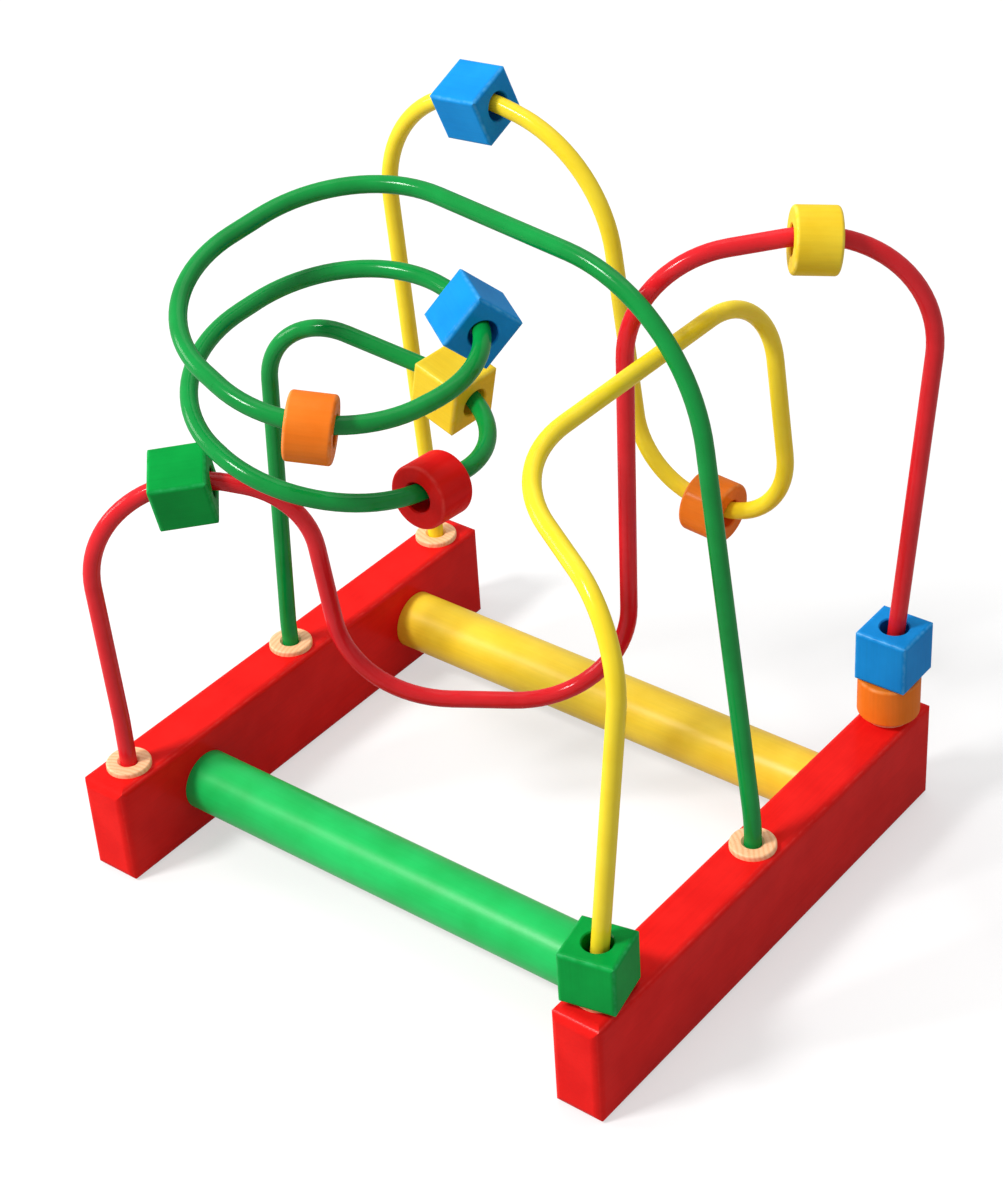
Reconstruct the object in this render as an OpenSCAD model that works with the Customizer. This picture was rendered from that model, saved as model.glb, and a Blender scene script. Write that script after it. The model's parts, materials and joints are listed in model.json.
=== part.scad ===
// Bead maze: two side beams, two cross dowels, three bent wires on wooden plugs and eleven loose beads.
// X runs from the left beam to the right one, Y from front to rear, and Z up from the floor.

/* [Base] */
// Length of each side beam, front to rear
beam_len = 200; // [190:1:260]
// Width of each side beam
beam_w = 19; // [17:0.5:30]
// Height of each side beam
beam_h = 40; // [36:0.5:60]
// Clear space between the two side beams
beam_gap = 185; // [170:1:220]
// Rounding of the beams' long edges
beam_edge = 2.4; // [0.5:0.1:3]
// Rounding of the beams' end edges, top and bottom
beam_end = 4; // [1:0.5:8]
// Rounding of the beams' upright corners
beam_corner = 3.2; // [0.5:0.1:4]
// Diameter of the cross dowels
dowel_d = 22; // [12:0.5:28]
// Distance between the axes of the two cross dowels
dowel_pitch = 118; // [80:1:140]
// Height of the dowel axes above the floor
dowel_z = 20; // [16:0.5:24]
// Depth of the blind hole that takes each dowel end
dowel_seat = 12; // [6:0.5:15]
// Glue line round each dowel end and each plug
glue_line = 0.1; // [0.05:0.05:0.2]

/* [Plugs] */
// Distance from the middle plug of a beam to the front or the rear one
plug_pitch = 85.5; // [80:0.5:90]
// Diameter of a plug's shank
plug_d = 12; // [9:0.5:14]
// Depth of a plug's shank in the beam
plug_depth = 25; // [15:1:30]
// Diameter of a plug's collar
collar_d = 16; // [13:0.5:18]
// Height of a plug's collar above the beam
collar_h = 2; // [1:0.5:4]
// Rounding of a collar's top edge
collar_round = 0.8; // [0.3:0.1:1]
// Flare at the mouth of a plug's bore
collar_mouth = 0.9; // [0.3:0.1:1]

/* [Wires] */
// Diameter of a wire over its plastic coat
wire_d = 6; // [5:0.1:7]
// Diameter of a wire's steel core
core_d = 4; // [3:0.1:4.5]
// Room between the core and the coat
sleeve_gap = 0.1; // [0.05:0.05:0.2]
// Room between the coat and its plug
wire_gap = 0.1; // [0.05:0.05:0.2]
// How much the wall draws down in a bend
bend_thin = 0.02; // [0.01:0.01:0.05]
// Radius from the coil's axis to its wire
coil_r = 46; // [40:0.5:52]
// Climb of the coil in one turn
coil_rise = 28; // [22:0.5:34]
// Lean of the coil towards the front right, as a slope
coil_lean = 0.18; // [0:0.01:0.25]

/* [Beads] */
// Edge of a cube bead
cube_size = 20; // [16:0.5:22]
// Rounding of a cube bead's edges
cube_round = 1.6; // [0.5:0.1:3]
// Diameter of a cylinder bead
drum_d = 22; // [16:0.5:24]
// Length of a cylinder bead
drum_len = 15; // [12:0.5:18]
// Rounding of a cylinder bead's rims
drum_round = 1.2; // [0.3:0.1:3]
// Room all round between a bead's bore and the wire
bead_play = 2; // [1.6:0.1:2.5]
// Easing of the edges of a bead's bore
bore_ease = 0.5; // [0.2:0.1:1]
// Gap left where a bead hangs or rests
rest_gap = 0.3; // [0.2:0.05:0.5]

/* [Hidden] */
$fn = 64;

red = "#d31a17";
green = "#128a3a";
yellow = "#f2b81c";
blue = "#1f5fc4";
orange = "#f07a1a";
wood = "#f0b98a";
steel = "#a9adb2";

left_x = -(beam_gap + beam_w) / 2;
right_x = (beam_gap + beam_w) / 2;
foot_z = beam_h - plug_depth;
bead_bore = wire_d + 2 * bead_play;
hang = bead_play - rest_gap;

// Bends of the wires: place of the corner, then the bend's radius.
// Each corner is measured from the hole that the wire leaves or enters and from the beams' top.
diagonal = unit([right_x - left_x, 2 * plug_pitch, 0]);

function red_left(s, up, r) = [left_x + diagonal.x * s, -plug_pitch + diagonal.y * s, beam_h + up, r];
function red_right(s, up, r) = [right_x + diagonal.x * s, plug_pitch + diagonal.y * s, beam_h + up, r];

red_path = [
    [left_x, -plug_pitch, foot_z, 0],
    red_left(0, 20, 60),
    red_left(-3.5, 129, 38.5),
    red_left(72, 106, 30.5),
    red_left(80.5, 23, 42),
    red_right(-90, 12.5, 37),
    red_right(-87.5, 183, 37.5),
    red_right(15, 195, 42.5),
    red_right(0, 14, 60),
    [right_x, plug_pitch, foot_z, 0]
];

function yellow_left(x, y, up, r) = [left_x + x, plug_pitch + y, beam_h + up, r];
function yellow_right(x, y, up, r) = [right_x + x, -plug_pitch + y, beam_h + up, r];

yellow_path = [
    [left_x, plug_pitch, foot_z, 0],
    yellow_left(0, 0, 8, 60),
    yellow_left(-11.5, 0, 204.5, 46.5),
    yellow_left(87, 0, 184.5, 49),
    yellow_left(101.5, 0, 65.5, 29.5),
    yellow_left(164.5, 0, 56.5, 28),
    yellow_left(154, -1, 158.5, 29.5),
    yellow_right(-58, 40.5, 152, 41),
    yellow_right(7, 8.5, 136, 34),
    yellow_right(0, 0, 12, 60),
    [right_x, -plug_pitch, foot_z, 0]
];

// The coil is two turns of quarter bends round a leaning axis
coil_x = left_x + 63.5;
coil_y = -26.5;
coil_up = 139;
coil_start = -57;
coil_fall = [0.66, -0.751];
coil_corners = 7;

function coil_out(k) = sqrt(2) * coil_r * [cos(coil_start - 90 * k), sin(coil_start - 90 * k)];
function coil_z(k) = beam_h + coil_up + coil_rise * k / 4 - coil_lean * (coil_out(k) * coil_fall);
function coil_corner(k) = [coil_x + coil_out(k).x, coil_y + coil_out(k).y, coil_z(k), coil_r - 2];

green_bends = concat(
    [
        [left_x, 0, foot_z, 0],
        [left_x, 0, beam_h + 10, 60],
        [left_x + 5, 2.5, beam_h + 145, 24.5],
        [left_x + 107.5, 31.5, beam_h + 115, 34]
    ],
    [for (k = [0 : coil_corners - 1]) coil_corner(k)],
    [
        [right_x - 34.5, 16.5, beam_h + 185.5, 61.5],
        [right_x, 0, beam_h + 10, 60],
        [right_x, 0, foot_z, 0]
    ]
);

// The lead-in turns by more than a quarter into the coil, so its bend there is limited by the straight run after it
coil_join = 4;
coil_run = 2.9;

function run_left(p, i) = norm(point(p, i + 1) - point(p, i)) - setback(p, i + 1) - coil_run;
function joined_r(p, i) = min(p[i][3], run_left(p, i) / tan(bend(p, i) / 2));

green_path = [
    for (i = [0 : len(green_bends) - 1])
        concat(point(green_bends, i), i == coil_join ? joined_r(green_bends, i) : green_bends[i][3])
];

// Geometry of a bent wire
function unit(v) = v / norm(v);
function point(p, i) = [p[i].x, p[i].y, p[i].z];
function leg(p, i) = unit(point(p, i + 1) - point(p, i));
function bend(p, i) = acos(leg(p, i - 1) * leg(p, i));
function inner(p, i) = i > 0 && i < len(p) - 1;
function setback(p, i) = inner(p, i) ? p[i][3] * tan(bend(p, i) / 2) : 0;
function inward(p, i) = unit(leg(p, i) - leg(p, i - 1) * (leg(p, i - 1) * leg(p, i)));
function leg_start(p, i) = point(p, i) + leg(p, i) * setback(p, i);
function leg_len(p, i) = norm(point(p, i + 1) - point(p, i)) - setback(p, i) - setback(p, i + 1);
function bend_start(p, i) = point(p, i) - leg(p, i - 1) * setback(p, i);
function bend_centre(p, i) = bend_start(p, i) + inward(p, i) * p[i][3];
function bend_axis(p, i) = cross(-inward(p, i), leg(p, i - 1));

// Directions out from the bend's centre and along the wire, at an angle into the bend
function radial(p, i, a) = -inward(p, i) * cos(a) + leg(p, i - 1) * sin(a);
function along(p, i, a) = inward(p, i) * sin(a) + leg(p, i - 1) * cos(a);

// Any direction square to a leg
function beside(v) = unit(cross(v, abs(v.z) > 0.9 ? [1, 0, 0] : [0, 0, 1]));

module in_frame(o, x, y, z) {
    multmatrix([
        [x.x, y.x, z.x, o.x],
        [x.y, y.y, z.y, o.y],
        [x.z, y.z, z.z, o.z],
        [0, 0, 0, 1]
    ])
    children();
}

module ring(d, bore) {
    difference() {
        circle(d = d);
        if (bore > 0) circle(d = bore);
    }
}

// A bent wire: a straight run on each leg and a true arc in each bend, which laps a little into the runs
bend_lap = 0.2;

module bent_wire(p, d, bore = 0) {
    for (i = [0 : len(p) - 2]) {
        side = beside(leg(p, i));
        in_frame(leg_start(p, i), side, cross(leg(p, i), side), leg(p, i))
        linear_extrude(leg_len(p, i))
        ring(d, bore);
    }
    for (i = [1 : len(p) - 2]) {
        lap = bend_lap / p[i][3] * 180 / PI;
        in_frame(bend_centre(p, i), radial(p, i, -lap), along(p, i, -lap), bend_axis(p, i))
        rotate_extrude(angle = bend(p, i) + 2 * lap)
        translate([p[i][3], 0])
        ring(d - 2 * bend_thin, bore > 0 ? bore + 2 * bend_thin : 0);
    }
}

module rounded_rect(w, h, r) {
    square([w - 2 * r, h], center = true);
    square([w, h - 2 * r], center = true);
    for (x = [-1, 1], y = [-1, 1]) {
        translate([x * (w / 2 - r), y * (h / 2 - r)]) circle(r);
    }
}

// A block with rounded edges, centred: rx rounds the edges that run along X, and so on
module rounded_block(w, l, h, rx, ry, rz) {
    intersection() {
        rotate([90, 0, 90]) linear_extrude(w + 2, center = true) rounded_rect(l, h, rx);
        rotate([90, 0, 0]) linear_extrude(l + 2, center = true) rounded_rect(w, h, ry);
        linear_extrude(h + 2, center = true) rounded_rect(w, l, rz);
    }
}

module beam(x, inside) {
    difference() {
        translate([x, 0, beam_h / 2])
        rounded_block(beam_w, beam_len, beam_h, beam_end, beam_edge, beam_corner);
        for (y = [-1, 0, 1]) {
            translate([x, y * plug_pitch, foot_z])
            cylinder(d = plug_d + 2 * glue_line, h = plug_depth + 1);
        }
        for (y = [-1, 1]) {
            translate([x + inside * (beam_w / 2 - dowel_seat), y * dowel_pitch / 2, dowel_z])
            rotate([0, inside * 90, 0])
            cylinder(d = dowel_d + 2 * glue_line, h = dowel_seat + 1);
        }
    }
}

module dowel(y) {
    translate([0, y, dowel_z])
    rotate([0, 90, 0])
    cylinder(d = dowel_d, h = beam_gap + 2 * dowel_seat, center = true);
}

module plug(x, y) {
    translate([x, y, foot_z])
    rotate_extrude()
    difference() {
        union() {
            square([plug_d / 2, plug_depth + collar_h / 2]);
            translate([0, plug_depth]) square([collar_d / 2, collar_h - collar_round]);
            translate([0, plug_depth]) square([collar_d / 2 - collar_round, collar_h]);
            translate([collar_d / 2 - collar_round, plug_depth + collar_h - collar_round])
            circle(collar_round);
        }
        translate([0, -1]) square([wire_d / 2 + wire_gap, plug_depth + collar_h + 2]);
        translate([wire_d / 2 + wire_gap, plug_depth + collar_h])
        polygon([[-1, -collar_mouth - 1], [collar_mouth + 1, 1], [-1, 1]]);
    }
}

// Beads, centred, with the bore along Z
module cube_bead() {
    difference() {
        rounded_block(cube_size, cube_size, cube_size, cube_round, cube_round, cube_round);
        cylinder(d = bead_bore, h = cube_size + 2, center = true);
        for (side = [0, 180]) {
            rotate([side, 0, 0])
            translate([0, 0, cube_size / 2 - bore_ease])
            cylinder(d1 = bead_bore, d2 = bead_bore + 4 * bore_ease, h = 2 * bore_ease);
        }
    }
}

module drum_bead() {
    rotate_extrude()
    difference() {
        translate([0, -drum_len / 2])
        union() {
            translate([0, drum_round]) square([drum_d / 2, drum_len - 2 * drum_round]);
            square([drum_d / 2 - drum_round, drum_len]);
            for (z = [drum_round, drum_len - drum_round]) {
                translate([drum_d / 2 - drum_round, z]) circle(drum_round);
            }
        }
        translate([0, -drum_len]) square([bead_bore / 2, 2 * drum_len]);
        for (side = [-1, 1]) {
            translate([bead_bore / 2, side * drum_len / 2])
            polygon([[-1, side], [bore_ease + 1, side], [-1, -side * (bore_ease + 1)]]);
        }
    }
}

// How a bead hangs on a bend: its bore rests on the wire, a small gap away, straight down
function half_sag(r, l) = (r - sqrt(r * r - l * l / 4)) / 2;
function down_in(p, i, a) = -[radial(p, i, a).z, bend_axis(p, i).z];
function drop(g, h) = sqrt(hang * hang - h * h + g.x * g.x * h * h) - abs(g.x) * h;
function hung(g, h) = g * drop(g, h) - [h, 0];

module on_bend(p, i, a, l, spin = 0) {
    h = half_sag(p[i][3], l);
    place = hung(unit(down_in(p, i, a)), h);
    in_frame(bend_centre(p, i), radial(p, i, a), along(p, i, a), bend_axis(p, i))
    translate([p[i][3] + place.x, 0, place.y])
    rotate([-90, 0, 0])
    rotate([0, 0, spin])
    children();
}

module left_beam() { color(red) beam(left_x, 1); }
module right_beam() { color(red) beam(right_x, -1); }
module front_dowel() { color(green) dowel(-dowel_pitch / 2); }
module rear_dowel() { color(yellow) dowel(dowel_pitch / 2); }

module plug_left_front() { color(wood) plug(left_x, -plug_pitch); }
module plug_left_middle() { color(wood) plug(left_x, 0); }
module plug_left_rear() { color(wood) plug(left_x, plug_pitch); }
module plug_right_front() { color(wood) plug(right_x, -plug_pitch); }
module plug_right_middle() { color(wood) plug(right_x, 0); }
module plug_right_rear() { color(wood) plug(right_x, plug_pitch); }

module red_wire_core() { color(steel) bent_wire(red_path, core_d); }
module red_wire_coat() { color(red) bent_wire(red_path, wire_d, core_d + 2 * sleeve_gap); }
module green_wire_core() { color(steel) bent_wire(green_path, core_d); }
module green_wire_coat() { color(green) bent_wire(green_path, wire_d, core_d + 2 * sleeve_gap); }
module yellow_wire_core() { color(steel) bent_wire(yellow_path, core_d); }
module yellow_wire_coat() { color(yellow) bent_wire(yellow_path, wire_d, core_d + 2 * sleeve_gap); }

// Beads that hang on a bend: the wire, the bend, the angle into the bend and the bead's turn on the wire
module green_cube_red_wire() { color(green) on_bend(red_path, 2, 86, cube_size, 15) cube_bead(); }
module yellow_drum_red_wire() { color(yellow) on_bend(red_path, 7, 12, drum_len) drum_bead(); }
module yellow_cube_green_wire() { color(yellow) on_bend(green_path, 3, 20, cube_size, 9) cube_bead(); }
module red_drum_green_wire() { color(red) on_bend(green_path, 4, -4, drum_len) drum_bead(); }
module blue_cube_green_wire() { color(blue) on_bend(green_path, 7, 21, cube_size, -42) cube_bead(); }
module orange_drum_green_wire() { color(orange) on_bend(green_path, 8, 46.5, drum_len) drum_bead(); }
module blue_cube_yellow_wire() { color(blue) on_bend(yellow_path, 2, 88.5, cube_size, 20) cube_bead(); }
module orange_drum_yellow_wire() { color(orange) on_bend(yellow_path, 5, 4, drum_len) drum_bead(); }

// Beads that stand at the foot of a wire, one on the collar or one on the other
stand_z = beam_h + collar_h + rest_gap;
stack_z = stand_z + drum_len + rest_gap;

// Place on a leg at a height
function at_height(p, i, z) = point(p, i) + leg(p, i) * (z - p[i].z) / leg(p, i).z;

module orange_drum_red_wire() {
    color(orange)
    translate([right_x, plug_pitch, stand_z + drum_len / 2])
    drum_bead();
}

module blue_cube_red_wire() {
    color(blue)
    translate(at_height(red_path, 7, stack_z + cube_size / 2))
    rotate([0, 0, 1])
    cube_bead();
}

module green_cube_yellow_wire() {
    color(green)
    translate([right_x, -plug_pitch, stand_z + cube_size / 2])
    rotate([0, 0, 12])
    cube_bead();
}

left_beam();
right_beam();
front_dowel();
rear_dowel();
plug_left_front();
plug_left_middle();
plug_left_rear();
plug_right_front();
plug_right_middle();
plug_right_rear();
red_wire_core();
red_wire_coat();
green_wire_core();
green_wire_coat();
yellow_wire_core();
yellow_wire_coat();
green_cube_red_wire();
yellow_drum_red_wire();
orange_drum_red_wire();
blue_cube_red_wire();
yellow_cube_green_wire();
red_drum_green_wire();
blue_cube_green_wire();
orange_drum_green_wire();
blue_cube_yellow_wire();
orange_drum_yellow_wire();
green_cube_yellow_wire();
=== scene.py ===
"""Looks of a table-top bead maze: enamelled beech, plastic-coated wire and bare beech plugs."""

import json
import logging
import math
from dataclasses import dataclass
from enum import Enum
from typing import Any

import bpy
import bmesh
from mathutils import Matrix, Vector


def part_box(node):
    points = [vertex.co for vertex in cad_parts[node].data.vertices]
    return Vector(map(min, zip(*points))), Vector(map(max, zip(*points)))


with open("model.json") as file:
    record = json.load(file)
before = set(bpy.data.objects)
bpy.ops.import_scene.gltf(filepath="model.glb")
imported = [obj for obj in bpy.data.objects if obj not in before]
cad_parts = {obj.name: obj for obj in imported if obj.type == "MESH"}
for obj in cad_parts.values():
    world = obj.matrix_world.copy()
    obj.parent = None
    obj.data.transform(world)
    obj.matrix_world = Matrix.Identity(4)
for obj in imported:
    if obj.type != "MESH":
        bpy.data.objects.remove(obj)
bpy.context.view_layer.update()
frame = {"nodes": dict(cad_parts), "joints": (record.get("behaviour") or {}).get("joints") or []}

LOG = logging.getLogger("bead_maze")
MM = 0.001
# The two values of a pattern that a colour or a sheen fades between
Span = tuple[float, float]


def linear(code: str) -> tuple[float, float, float, float]:
    """Turns an sRGB hex colour into a linear one.

    Args:
        code: The colour, such as "#d31a17".

    Returns:
        Red, green, blue and an alpha of 1.
    """
    parts = (int(code[k:k + 2], 16) / 255 for k in (1, 3, 5))
    r, g, b = (v / 12.92 if v <= 0.04045 else ((v + 0.055) / 1.055) ** 2.4 for v in parts)
    return r, g, b, 1.0


def add(tree: bpy.types.NodeTree, kind: str, inputs: dict[Any, Any] | None = None, **settings: Any) -> bpy.types.Node:
    """Adds a shader node with its settings and links.

    Args:
        tree: The material's node tree.
        kind: The node's type, without the ShaderNode in front.
        inputs: A value or an output socket for each input, by name or number.
        settings: The node's own properties.

    Returns:
        The new node.
    """
    node = tree.nodes.new("ShaderNode" + kind)
    for name, value in settings.items():
        setattr(node, name, value)
    for key, value in (inputs or {}).items():
        if isinstance(value, bpy.types.NodeSocket):
            tree.links.new(value, node.inputs[key])
        else:
            node.inputs[key].default_value = value
    return node


def blank(name: str) -> tuple[bpy.types.Material, bpy.types.NodeTree]:
    """Makes an empty node material.

    Args:
        name: The material's name.

    Returns:
        The material and its node tree.
    """
    material = bpy.data.materials.new(name)
    material.use_nodes = True
    material.node_tree.nodes.clear()
    return material, material.node_tree


@dataclass(frozen=True)
class Place:
    """Where a piece lies, so that its grain and its edges follow it."""

    centre: Vector
    across: Vector
    along: Vector

    def local(self, tree: bpy.types.NodeTree) -> bpy.types.NodeSocket:
        """Gives the piece's own coordinates in millimetres, with the grain along Z.

        Args:
            tree: The material's node tree.

        Returns:
            The socket that carries the coordinates.
        """
        third = self.along.cross(self.across)
        turn = Matrix((self.across, third, self.along)).transposed().to_euler()
        where = add(tree, "TexCoord")
        moved = add(tree, "Mapping", {"Vector": where.outputs["Object"], "Location": self.centre,
                                      "Rotation": turn, "Scale": (MM, MM, MM)}, vector_type="TEXTURE")
        return moved.outputs["Vector"]


class Form(Enum):
    """The shapes whose edges a finish follows."""

    BLOCK = "block"
    DRUM = "drum"
    ROD = "rod"


@dataclass(frozen=True)
class Outline:
    """A piece's outside, in millimetres, in its own coordinates."""

    form: Form
    half: tuple[float, float, float]
    bore: float = 0.0

    def to_edge(self, tree: bpy.types.NodeTree, local: bpy.types.NodeSocket) -> bpy.types.NodeSocket:
        """Measures how far a point of the surface lies inside its nearest edge.

        Args:
            tree: The material's node tree.
            local: The piece's own coordinates.

        Returns:
            The distance in millimetres, negative inwards.
        """
        xyz = add(tree, "SeparateXYZ", {0: local}).outputs
        deep = [add(tree, "Math", {0: add(tree, "Math", {0: c}, operation="ABSOLUTE").outputs[0], 1: h},
                    operation="SUBTRACT").outputs[0] for c, h in zip(xyz, self.half)]
        if self.form is not Form.BLOCK:
            far = add(tree, "Math", {0: self.radius(tree, local), 1: self.half[0]}, operation="SUBTRACT").outputs[0]
            return add(tree, "Math", {0: far, 1: deep[2]}, operation="MINIMUM").outputs[0]
        low = add(tree, "Math", {0: deep[0], 1: deep[1]}, operation="MINIMUM").outputs[0]
        high = add(tree, "Math", {0: deep[0], 1: deep[1]}, operation="MAXIMUM").outputs[0]
        rest = add(tree, "Math", {0: high, 1: deep[2]}, operation="MINIMUM").outputs[0]
        return add(tree, "Math", {0: low, 1: rest}, operation="MAXIMUM").outputs[0]

    def radius(self, tree: bpy.types.NodeTree, local: bpy.types.NodeSocket) -> bpy.types.NodeSocket:
        """Gives the distance from the piece's own axis, in millimetres."""
        flat = add(tree, "VectorMath", {0: local, 1: (1, 1, 0)}, operation="MULTIPLY").outputs[0]
        return add(tree, "VectorMath", {0: flat}, operation="LENGTH").outputs["Value"]


@dataclass(frozen=True)
class Enamel:
    """Gloss enamel on sanded beech, dipped and dried.

    The eye sees a deep even colour with a soft broad gloss, a slight orange peel, a trace of the
    grain below, a paler line on the edges that is partly thin film and partly painted highlight, and
    painted shade inside the bores.
    """

    name: str
    colour: str
    deep: str
    # thin is the paler edge colour: partly thin film, partly painted highlight
    thin: str
    cloud_mm: float = 14.0
    cloud_span: Span = (0.35, 0.68)
    # Beech pores are about 0.1 mm wide, so they are drawn as coarse as they need to show
    grain_mm: float = 0.9
    grain_long_mm: float = 22.0
    grain_depth_mm: float = 0.03
    grain_span: Span = (0.3, 0.62)
    grain_shade: float = 0.94
    edge_mm: float = 1.3
    edge_end_mm: float = 0.1
    edge_thin_and_highlight_share: float = 0.55
    rub_mm: float = 3.2
    rub_span: Span = (0.36, 0.6)
    # Painted shade inside the bore, fading out over these distances beyond its wall
    bore_shade_fade_mm: Span = (0.05, 0.5)
    bore_shade_share: float = 0.55
    peel_mm: float = 1.5
    peel_depth_mm: float = 0.03
    sheen_span: Span = (0.3, 0.7)
    sheen_swing: Span = (0.05, -0.04)
    roughness: float = 0.45
    gloss: float = 0.12
    gloss_roughness: float = 0.19
    ior: float = 1.5

    def dress(self, piece: str, place: Place, outline: Outline) -> bpy.types.Material:
        """Makes the enamel of one piece.

        Args:
            piece: The piece's name.
            place: Where it lies.
            outline: Its outside.

        Returns:
            The material.
        """
        material, tree = blank(f"{self.name}_{piece}")
        local = place.local(tree)
        # Clouds of thicker and thinner film, at the size of the runs that dipping leaves
        cloud = add(tree, "TexNoise", {"Vector": local, "Scale": 1 / self.cloud_mm, "Detail": 3.0, "Roughness": 0.5})
        film = add(tree, "MapRange", {"Value": cloud.outputs[0], "From Min": self.cloud_span[0],
                                      "From Max": self.cloud_span[1]})
        paint = add(tree, "Mix", {0: film.outputs[0], 6: linear(self.deep), 7: linear(self.colour)}, data_type="RGBA")
        # Beech pores, long along the grain, show through as faint lines
        pull = (1 / self.grain_mm, 1 / self.grain_mm, 1 / self.grain_long_mm)
        drawn = add(tree, "VectorMath", {0: local, 1: pull}, operation="MULTIPLY")
        grain = add(tree, "TexNoise", {"Vector": drawn.outputs[0], "Scale": 1.0, "Detail": 4.0, "Roughness": 0.6})
        pores = add(tree, "MapRange", {"Value": grain.outputs[0], "From Min": self.grain_span[0],
                                       "From Max": self.grain_span[1], "To Min": self.grain_shade, "To Max": 1.0})
        lined = add(tree, "Mix", {0: 1.0, 6: paint.outputs[2], 7: pores.outputs[0]}, data_type="RGBA",
                    blend_type="MULTIPLY")
        # The edges are painted paler, unevenly: partly the film drawing thin there, partly a painted highlight
        edge = add(tree, "MapRange", {"Value": outline.to_edge(tree, local), "From Min": -self.edge_mm,
                                      "From Max": -self.edge_end_mm, "To Max": self.edge_thin_and_highlight_share},
                   interpolation_type="SMOOTHSTEP")
        rub = add(tree, "TexNoise", {"Vector": local, "Scale": 1 / self.rub_mm, "Detail": 4.0})
        broken = add(tree, "MapRange", {"Value": rub.outputs[0], "From Min": self.rub_span[0],
                                        "From Max": self.rub_span[1]})
        thin_edge_and_highlight = add(tree, "Math", {0: edge.outputs[0], 1: broken.outputs[0]}, operation="MULTIPLY")
        shown = add(tree, "Mix", {0: thin_edge_and_highlight.outputs[0], 6: lined.outputs[2], 7: linear(self.thin)}, data_type="RGBA")
        colour = shown.outputs[2]
        if outline.bore > 0:
            # Inside the bore the colour is darkened, as painted shade
            inside = add(tree, "MapRange", {"Value": outline.radius(tree, local),
                                            "From Min": outline.bore + self.bore_shade_fade_mm[0],
                                            "From Max": outline.bore + self.bore_shade_fade_mm[1],
                                            "To Min": self.bore_shade_share, "To Max": 0.0})
            colour = add(tree, "Mix", {0: inside.outputs[0], 6: colour, 7: linear(self.deep)}, data_type="RGBA",
                         blend_type="MULTIPLY").outputs[2]
        # The pores and the orange peel stand a few hundredths of a millimetre in the film
        peel = add(tree, "TexNoise", {"Vector": local, "Scale": 1 / self.peel_mm, "Detail": 2.0})
        first = add(tree, "Bump", {"Height": grain.outputs[0], "Strength": 0.35,
                                   "Distance": self.grain_depth_mm * MM})
        second = add(tree, "Bump", {"Height": peel.outputs[0], "Strength": 0.6,
                                    "Distance": self.peel_depth_mm * MM, "Normal": first.outputs[0]})
        sheen = add(tree, "MapRange", {"Value": cloud.outputs[0], "From Min": self.sheen_span[0],
                                       "From Max": self.sheen_span[1],
                                       "To Min": self.roughness + self.sheen_swing[0],
                                       "To Max": self.roughness + self.sheen_swing[1]})
        # All the gloss is in the thin top of the film, so that shaded sides keep their full colour
        surface = add(tree, "BsdfPrincipled", {"Base Color": colour, "Roughness": sheen.outputs[0],
                                               "Specular IOR Level": 0.0, "Normal": second.outputs[0],
                                               "Coat Weight": self.gloss, "Coat IOR": self.ior,
                                               "Coat Roughness": self.gloss_roughness,
                                               "Coat Normal": second.outputs[0]})
        add(tree, "OutputMaterial", {"Surface": surface.outputs[0]})
        return material


@dataclass(frozen=True)
class Vinyl:
    """Soft vinyl sleeve, extruded over the wire and drawn tight.

    The eye sees a clean saturated colour with a narrow bright streak, small ripples from the
    bending and a faint bloom of rubbed patches.
    """

    name: str
    colour: str
    deep: str
    ripple_mm: float = 5.0
    ripple_depth_mm: float = 0.12
    bloom_mm: float = 18.0
    bloom_span: Span = (0.32, 0.66)
    grit_mm: float = 0.7
    grit_depth_mm: float = 0.012
    sheen_span: Span = (0.3, 0.7)
    sheen_swing: Span = (0.07, -0.04)
    roughness: float = 0.4
    gloss: float = 0.32
    gloss_roughness: float = 0.15
    ior: float = 1.53

    def dress(self, piece: str) -> bpy.types.Material:
        """Makes the sleeve of one wire.

        Args:
            piece: The piece's name.

        Returns:
            The material.
        """
        material, tree = blank(f"{self.name}_{piece}")
        where = add(tree, "TexCoord")
        local = add(tree, "VectorMath", {0: where.outputs["Object"], "Scale": 1 / MM}, operation="SCALE").outputs[0]
        # Rubbed patches are a little deeper in colour and duller than the clean sleeve
        bloom = add(tree, "TexNoise", {"Vector": local, "Scale": 1 / self.bloom_mm, "Detail": 4.0, "Roughness": 0.6})
        tone = add(tree, "MapRange", {"Value": bloom.outputs[0], "From Min": self.bloom_span[0],
                                      "From Max": self.bloom_span[1]})
        colour = add(tree, "Mix", {0: tone.outputs[0], 6: linear(self.deep), 7: linear(self.colour)}, data_type="RGBA")
        sheen = add(tree, "MapRange", {"Value": bloom.outputs[0], "From Min": self.sheen_span[0],
                                       "From Max": self.sheen_span[1],
                                       "To Min": self.roughness + self.sheen_swing[0],
                                       "To Max": self.roughness + self.sheen_swing[1]})
        # Bending leaves ripples in the sleeve, and the die leaves a fine grit
        ripple = add(tree, "TexNoise", {"Vector": local, "Scale": 1 / self.ripple_mm, "Detail": 1.0})
        grit = add(tree, "TexNoise", {"Vector": local, "Scale": 1 / self.grit_mm, "Detail": 2.0})
        first = add(tree, "Bump", {"Height": ripple.outputs[0], "Strength": 0.5,
                                   "Distance": self.ripple_depth_mm * MM})
        second = add(tree, "Bump", {"Height": grit.outputs[0], "Strength": 0.25,
                                    "Distance": self.grit_depth_mm * MM, "Normal": first.outputs[0]})
        surface = add(tree, "BsdfPrincipled", {"Base Color": colour.outputs[2], "Roughness": sheen.outputs[0],
                                               "Specular IOR Level": 0.0, "Normal": second.outputs[0],
                                               "Coat Weight": self.gloss, "Coat IOR": self.ior,
                                               "Coat Roughness": self.gloss_roughness,
                                               "Coat Normal": second.outputs[0]})
        add(tree, "OutputMaterial", {"Surface": surface.outputs[0]})
        return material


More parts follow.
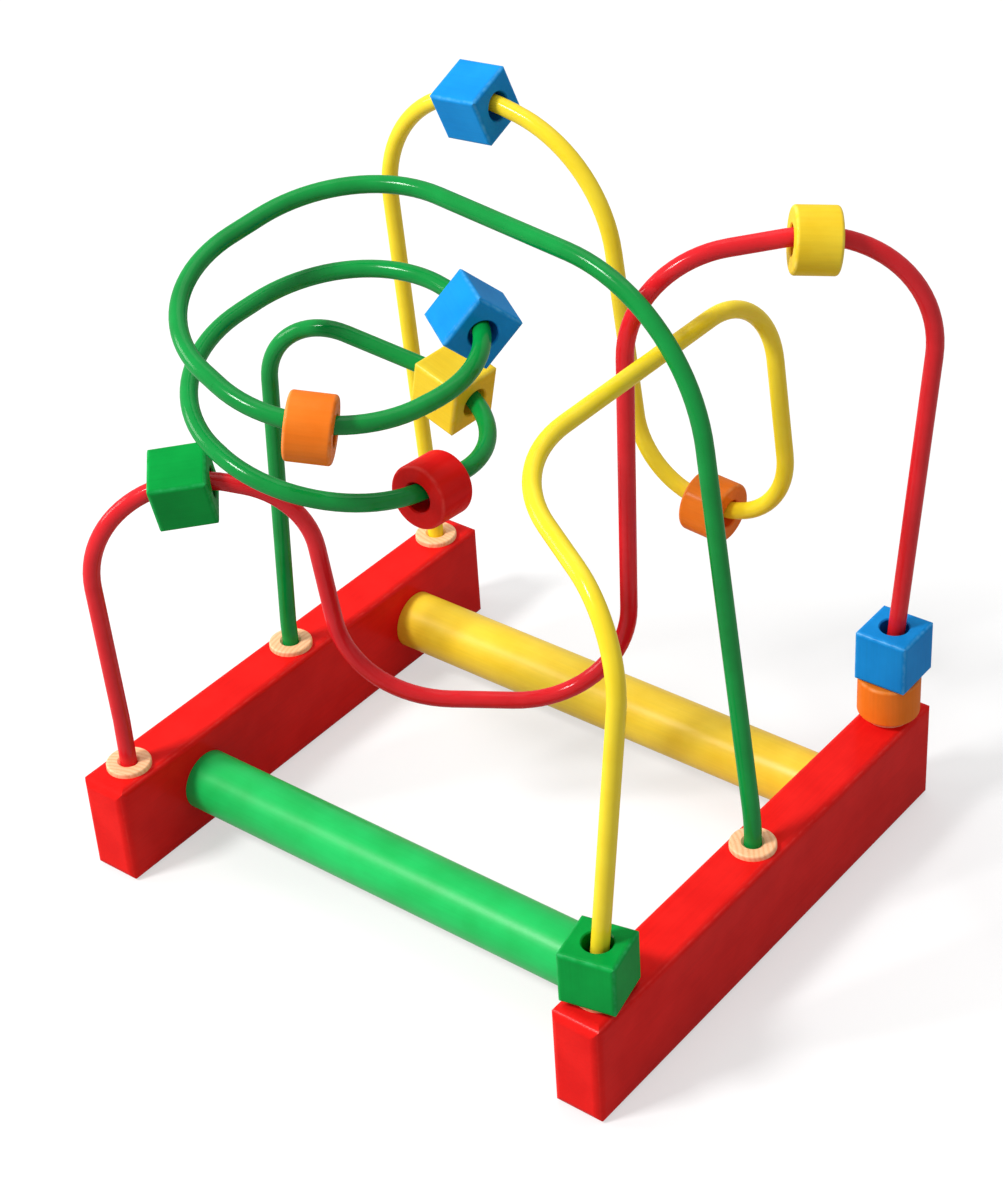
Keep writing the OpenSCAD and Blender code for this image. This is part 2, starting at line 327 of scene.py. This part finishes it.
@dataclass(frozen=True)
class BareBeech:
    """Steamed beech, turned on a lathe and left bare.

    The eye sees a warm pink-tan wood with fine year rings on the end grain, short dark flecks and
    no gloss.
    """

    name: str = "bare_turned_beech"
    pale: str = "#ffc898"
    dark: str = "#eda066"
    fleck: str = "#c97f4a"
    ring_mm: float = 1.6
    ring_span: Span = (-0.6, 1.0)
    ring_share: float = 0.55
    heart_mm: tuple[float, float, float] = (31.0, 22.0, 0.0)
    sway_mm: float = 6.0
    sway_reach_mm: float = 1.4
    fleck_mm: float = 0.45
    fleck_long_mm: float = 4.05
    fleck_depth_mm: float = 0.05
    fleck_span: Span = (0.6, 0.72)
    fleck_share: float = 0.5
    roughness: float = 0.52

    def dress(self, piece: str, place: Place) -> bpy.types.Material:
        """Makes the wood of one plug.

        Args:
            piece: The piece's name.
            place: Where it lies.

        Returns:
            The material.
        """
        material, tree = blank(f"{self.name}_{piece}")
        local = place.local(tree)
        # Year rings of a trunk whose heart lies well outside the plug, so they cross it as arcs
        heart = add(tree, "VectorMath", {0: local, 1: self.heart_mm}, operation="ADD")
        sway = add(tree, "TexNoise", {"Vector": local, "Scale": 1 / self.sway_mm, "Detail": 2.0})
        far = add(tree, "VectorMath", {0: heart.outputs[0]}, operation="LENGTH")
        bent = add(tree, "Math", {0: sway.outputs[0], 1: self.sway_reach_mm, 2: far.outputs["Value"]},
                   operation="MULTIPLY_ADD")
        phase = add(tree, "Math", {0: bent.outputs[0], 1: 2 * math.pi / self.ring_mm}, operation="MULTIPLY")
        wave = add(tree, "Math", {0: phase.outputs[0]}, operation="SINE")
        ring = add(tree, "MapRange", {"Value": wave.outputs[0], "From Min": self.ring_span[0],
                                      "From Max": self.ring_span[1], "To Max": self.ring_share})
        base = add(tree, "Mix", {0: ring.outputs[0], 6: linear(self.pale), 7: linear(self.dark)}, data_type="RGBA")
        # Short flecks along the grain, which the lathe left as shallow pits
        pull = (1 / self.fleck_mm, 1 / self.fleck_mm, 1 / self.fleck_long_mm)
        drawn = add(tree, "VectorMath", {0: local, 1: pull}, operation="MULTIPLY")
        pore = add(tree, "TexNoise", {"Vector": drawn.outputs[0], "Scale": 1.0, "Detail": 3.0})
        spot = add(tree, "MapRange", {"Value": pore.outputs[0], "From Min": self.fleck_span[0],
                                      "From Max": self.fleck_span[1], "To Max": self.fleck_share})
        colour = add(tree, "Mix", {0: spot.outputs[0], 6: base.outputs[2], 7: linear(self.fleck)}, data_type="RGBA")
        bump = add(tree, "Bump", {"Height": pore.outputs[0], "Strength": 0.5,
                                  "Distance": self.fleck_depth_mm * MM}, invert=True)
        surface = add(tree, "BsdfPrincipled", {"Base Color": colour.outputs[2], "Roughness": self.roughness,
                                               "Normal": bump.outputs[0]})
        add(tree, "OutputMaterial", {"Surface": surface.outputs[0]})
        return material


@dataclass(frozen=True)
class DrawnSteel:
    """Mild steel wire, cold drawn.

    The sleeve hides it from the eye, which would see a grey metal with a fine uneven sheen.
    """

    name: str = "drawn_steel"
    colour: str = "#a9adb2"
    # Die lines are finer than this, so they are drawn as coarse as they need to show
    line_mm: float = 0.3
    roughness: float = 0.36
    swing: float = 0.08

    def dress(self, piece: str) -> bpy.types.Material:
        """Makes the steel of one core.

        Args:
            piece: The piece's name.

        Returns:
            The material.
        """
        material, tree = blank(f"{self.name}_{piece}")
        where = add(tree, "TexCoord")
        local = add(tree, "VectorMath", {0: where.outputs["Object"], "Scale": 1 / MM}, operation="SCALE").outputs[0]
        line = add(tree, "TexNoise", {"Vector": local, "Scale": 1 / self.line_mm, "Detail": 2.0})
        gloss = add(tree, "MapRange", {"Value": line.outputs[0], "To Min": self.roughness - self.swing,
                                       "To Max": self.roughness + self.swing})
        surface = add(tree, "BsdfPrincipled", {"Base Color": linear(self.colour), "Metallic": 1.0,
                                               "Roughness": gloss.outputs[0]})
        add(tree, "OutputMaterial", {"Surface": surface.outputs[0]})
        return material


class Hue(Enum):
    """The colours of the toy."""

    RED = "red"
    GREEN = "green"
    YELLOW = "yellow"
    BLUE = "blue"
    ORANGE = "orange"


ENAMEL = {
    Hue.RED: Enamel("red_enamel_on_beech", "#f0201c", "#e51a17", "#fc5d55"),
    Hue.GREEN: Enamel("green_enamel_on_beech", "#079f40", "#04933a", "#41c075"),
    Hue.YELLOW: Enamel("yellow_enamel_on_beech", "#f8d537", "#f2c92a", "#ffe984"),
    Hue.BLUE: Enamel("blue_enamel_on_beech", "#1a95e4", "#148bda", "#70c8fa"),
    Hue.ORANGE: Enamel("orange_enamel_on_beech", "#f5822a", "#f0781f", "#ffb074"),
}
# The round dowels carry a thicker film, which gives a broad bright band along them. The green dowel's enamel is also
# painted lighter than the beads' green, as painted light for that bright band
DOWEL_ENAMEL = {
    Hue.GREEN: Enamel("green_enamel_on_turned_beech", "#17c25e", "#10b653", "#63dc97", gloss=0.55,
                      gloss_roughness=0.34),
    Hue.YELLOW: Enamel("yellow_enamel_on_turned_beech", "#f8d53c", "#f2ca2e", "#ffea8c", gloss=0.55,
                       gloss_roughness=0.34),
}
VINYL = {
    Hue.RED: Vinyl("red_vinyl_sleeve", "#e3232b", "#d61b23"),
    Hue.GREEN: Vinyl("green_vinyl_sleeve", "#08933e", "#058636"),
    Hue.YELLOW: Vinyl("yellow_vinyl_sleeve", "#fbe032", "#f5d626"),
}


def put_on(node: str, material: bpy.types.Material) -> None:
    """Gives a CAD node its material.

    Args:
        node: The node's name.
        material: The material for every face of it.
    """
    mesh = frame["nodes"][node].data
    mesh.materials.clear()
    mesh.materials.append(material)
    LOG.info("%s: %s", node, material.name)


def middle(node: str) -> Vector:
    """Gives the middle of a CAD node's box."""
    low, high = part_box(node)
    return (low + high) / 2


@dataclass
class Base:
    """The two beams, the two cross dowels and the six plugs."""

    beam_half_mm: tuple[float, float, float] = (9.5, 20.0, 100.0)
    dowel_r_mm: float = 11.0
    dowel_half_mm: float = 104.5
    plug_turn_rad: float = 1.3

    def dress(self) -> None:
        """Gives the base its enamel and its bare wood."""
        for side in ("left", "right"):
            node = f"{side}_beam"
            place = Place(middle(node), Vector((1, 0, 0)), Vector((0, 1, 0)))
            put_on(node, ENAMEL[Hue.RED].dress(node, place, Outline(Form.BLOCK, self.beam_half_mm)))
        for end, hue in (("front", Hue.GREEN), ("rear", Hue.YELLOW)):
            node = f"{end}_dowel"
            place = Place(middle(node), Vector((0, 1, 0)), Vector((1, 0, 0)))
            size = (self.dowel_r_mm, self.dowel_r_mm, self.dowel_half_mm)
            put_on(node, DOWEL_ENAMEL[hue].dress(node, place, Outline(Form.ROD, size)))
        # Each plug was cut with its year rings another way round
        plugs = [f"plug_{side}_{row}" for side in ("left", "right") for row in ("front", "middle", "rear")]
        for count, node in enumerate(plugs, 1):
            turn = self.plug_turn_rad * count
            across = Vector((math.cos(turn), math.sin(turn), 0))
            put_on(node, BareBeech().dress(node, Place(middle(node), across, Vector((0, 0, 1)))))


@dataclass
class Wires:
    """The three bent wires: a steel core in a vinyl sleeve."""

    hues: tuple[Hue, ...] = (Hue.RED, Hue.GREEN, Hue.YELLOW)

    def dress(self) -> None:
        """Gives each wire its sleeve and its core."""
        for hue in self.hues:
            put_on(f"{hue.value}_wire_coat", VINYL[hue].dress(f"{hue.value}_wire"))
            put_on(f"{hue.value}_wire_core", DrawnSteel().dress(f"{hue.value}_wire"))


@dataclass(frozen=True)
class Bead:
    """One wooden bead on its wire."""

    hue: Hue
    form: Form
    wire: Hue
    turn_deg: float = 0.0

    @property
    def node(self) -> str:
        """The bead's CAD node."""
        kind = "cube" if self.form is Form.BLOCK else "drum"
        return f"{self.hue.value}_{kind}_{self.wire.value}_wire"

    def place(self) -> Place:
        """Works out how the bead lies on its wire.

        Returns:
            The bead's place, with its bore along the grain.
        """
        centre = middle(self.node)
        joint = next(j for j in frame["joints"] if j["child"] == self.node.replace("_wire", "_bead"))
        if joint["type"] == "slide":
            first, second, bore = Vector((1, 0, 0)), Vector((0, 1, 0)), Vector((0, 0, 1))
        else:
            axis = Vector(joint["axis"]).normalized()
            arm = centre - Vector(joint["pos_m"])
            first = (arm - axis * arm.dot(axis)).normalized()
            second, bore = -axis, axis.cross(first)
        turn = math.radians(self.turn_deg)
        return Place(centre, first * math.cos(turn) + second * math.sin(turn), bore)


@dataclass
class Beads:
    """All the loose beads, in the order of their wires."""

    cube_half_mm: float = 10.0
    drum_r_mm: float = 11.0
    drum_half_mm: float = 7.5
    bore_r_mm: float = 5.0
    beads: tuple[Bead, ...] = (
        Bead(Hue.GREEN, Form.BLOCK, Hue.RED, 15.0),
        Bead(Hue.YELLOW, Form.DRUM, Hue.RED),
        Bead(Hue.ORANGE, Form.DRUM, Hue.RED),
        Bead(Hue.BLUE, Form.BLOCK, Hue.RED, 1.0),
        Bead(Hue.YELLOW, Form.BLOCK, Hue.GREEN, 9.0),
        Bead(Hue.RED, Form.DRUM, Hue.GREEN),
        Bead(Hue.BLUE, Form.BLOCK, Hue.GREEN, -42.0),
        Bead(Hue.ORANGE, Form.DRUM, Hue.GREEN),
        Bead(Hue.BLUE, Form.BLOCK, Hue.YELLOW, 20.0),
        Bead(Hue.ORANGE, Form.DRUM, Hue.YELLOW),
        Bead(Hue.GREEN, Form.BLOCK, Hue.YELLOW, 12.0),
    )

    def dress(self) -> None:
        """Gives each bead its enamel."""
        cube = (self.cube_half_mm,) * 3
        drum = (self.drum_r_mm, self.drum_r_mm, self.drum_half_mm)
        for bead in self.beads:
            size = cube if bead.form is Form.BLOCK else drum
            outline = Outline(bead.form, size, self.bore_r_mm)
            put_on(bead.node, ENAMEL[bead.hue].dress(bead.node, bead.place(), outline))


@dataclass(frozen=True)
class SoftBox:
    """One square lamp, with its place and its side in metres."""

    name: str
    at: tuple[float, float, float]
    side: float
    watts: float


@dataclass
class Studio:
    """The floor, the lamps, the white surround and the camera."""

    eye_mm: tuple[float, float, float] = (472.2, -559.7, 613.7)
    heading_deg: float = -40.089
    dip_deg: float = 35.071
    roll_deg: float = -3.887
    lens_mm: float = 79.62
    sensor_mm: float = 36.0
    reach_m: float = 20.0
    floor_m: float = 4.0
    floor_cells: int = 8
    lit_m: float = 0.4
    floor_colour: str = "#b0b0b0"
    floor_seen: str = "#fcfcfc"
    floor_drop_mm: float = 0.05
    glow_near: float = 0.55
    fill: float = 0.42
    aim_m: tuple[float, float, float] = (0.0, 0.0, 0.1)
    lamps: tuple[SoftBox, ...] = (
        SoftBox("key", (-0.9, -1.65, 2.2), 0.55, 66.0),
        SoftBox("side", (-1.9, -0.9, 0.8), 0.8, 16.0),
        SoftBox("top", (-0.2, 0.5, 1.7), 1.2, 6.0),
    )

    def seen(self, tree: bpy.types.NodeTree) -> bpy.types.NodeSocket:
        """Tells the rays that show the white background from those that light the toy.

        Args:
            tree: The floor's or the world's node tree.

        Returns:
            The socket that is 1 on the rays that show the background.
        """
        rays = add(tree, "LightPath").outputs
        plain = add(tree, "Math", {0: rays["Is Camera Ray"], 1: rays["Is Glossy Ray"]}, operation="MAXIMUM")
        both = add(tree, "Math", {0: plain.outputs[0], 1: rays["Is Transmission Ray"]}, operation="MAXIMUM")
        return both.outputs[0]

    def floor(self) -> None:
        """Lays the pale floor."""
        mesh = bpy.data.meshes.new("floor")
        grid = bmesh.new()
        bmesh.ops.create_grid(grid, x_segments=self.floor_cells, y_segments=self.floor_cells, size=self.floor_m / 2)
        grid.to_mesh(mesh)
        grid.free()
        floor = bpy.data.objects.new("floor", mesh)
        floor.location.z = -self.floor_drop_mm * MM
        bpy.context.scene.collection.objects.link(floor)
        material, tree = blank("pale_studio_floor")
        seen = self.seen(tree)
        tone = add(tree, "Mix", {0: seen, 6: linear(self.floor_colour), 7: linear(self.floor_seen)}, data_type="RGBA")
        matt = add(tree, "BsdfDiffuse", {"Color": tone.outputs[2]})
        white = add(tree, "Emission", {"Color": (1, 1, 1, 1), "Strength": 1.0})
        # Near the toy the floor keeps the shadow, and further out it runs into the white surround
        where = add(tree, "TexCoord")
        away = add(tree, "VectorMath", {0: where.outputs["Object"]}, operation="LENGTH")
        glow = add(tree, "MapRange", {"Value": away.outputs["Value"], "From Min": self.lit_m,
                                      "From Max": self.floor_m / 2, "To Min": self.glow_near, "To Max": 1.0},
                   interpolation_type="SMOOTHSTEP")
        share = add(tree, "Math", {0: seen, 1: glow.outputs[0]}, operation="MULTIPLY")
        both = add(tree, "MixShader", {0: share.outputs[0], 1: matt.outputs[0], 2: white.outputs[0]})
        add(tree, "OutputMaterial", {"Surface": both.outputs[0]})
        mesh.materials.append(material)

    def surround(self) -> None:
        """Sets a white surround that gives an even fill light."""
        world = bpy.data.worlds.new("white_surround")
        bpy.context.scene.world = world
        world.use_nodes = True
        tree = world.node_tree
        tree.nodes.clear()
        level = add(tree, "MapRange", {"Value": self.seen(tree), "To Min": self.fill, "To Max": 1.0})
        light = add(tree, "Background", {"Color": (1, 1, 1, 1), "Strength": level.outputs[0]})
        add(tree, "OutputWorld", {"Surface": light.outputs[0]})

    def hang(self, box: SoftBox) -> None:
        """Hangs a soft box that faces the toy.

        Args:
            box: The lamp.
        """
        data = bpy.data.lights.new(box.name, "AREA")
        data.shape = "SQUARE"
        data.size = box.side
        data.energy = box.watts
        lamp = bpy.data.objects.new(box.name, data)
        lamp.location = box.at
        lamp.rotation_euler = (Vector(self.aim_m) - Vector(box.at)).to_track_quat("-Z", "Y").to_euler()
        bpy.context.scene.collection.objects.link(lamp)

    def camera(self) -> None:
        """Stands the camera where the photograph was taken from."""
        data = bpy.data.cameras.new("camera")
        data.sensor_fit = "VERTICAL"
        data.sensor_height = self.sensor_mm
        data.lens = self.lens_mm
        data.clip_end = self.reach_m
        camera = bpy.data.objects.new("camera", data)
        heading = math.radians(self.heading_deg)
        dip = math.radians(self.dip_deg)
        roll = math.radians(self.roll_deg)
        ahead = Vector((math.sin(heading) * math.cos(dip), math.cos(heading) * math.cos(dip), -math.sin(dip)))
        level = Vector((math.cos(heading), -math.sin(heading), 0))
        over = level.cross(ahead)
        right = level * math.cos(roll) + over * math.sin(roll)
        up = over * math.cos(roll) - level * math.sin(roll)
        pose = Matrix((right, up, -ahead)).transposed().to_4x4()
        pose.translation = Vector(self.eye_mm) * MM
        camera.matrix_world = pose
        bpy.context.scene.collection.objects.link(camera)
        bpy.context.scene.camera = camera

    def set_up(self) -> None:
        """Builds the whole studio."""
        self.camera()
        self.floor()
        self.surround()
        for box in self.lamps:
            self.hang(box)
        bpy.context.scene.view_settings.view_transform = "Standard"


def main() -> None:
    """Dresses the toy and sets up the studio."""
    logging.basicConfig(level=logging.INFO)
    Studio().set_up()
    for part in (Base(), Wires(), Beads()):
        part.dress()


if __name__ == "__main__":
    main()
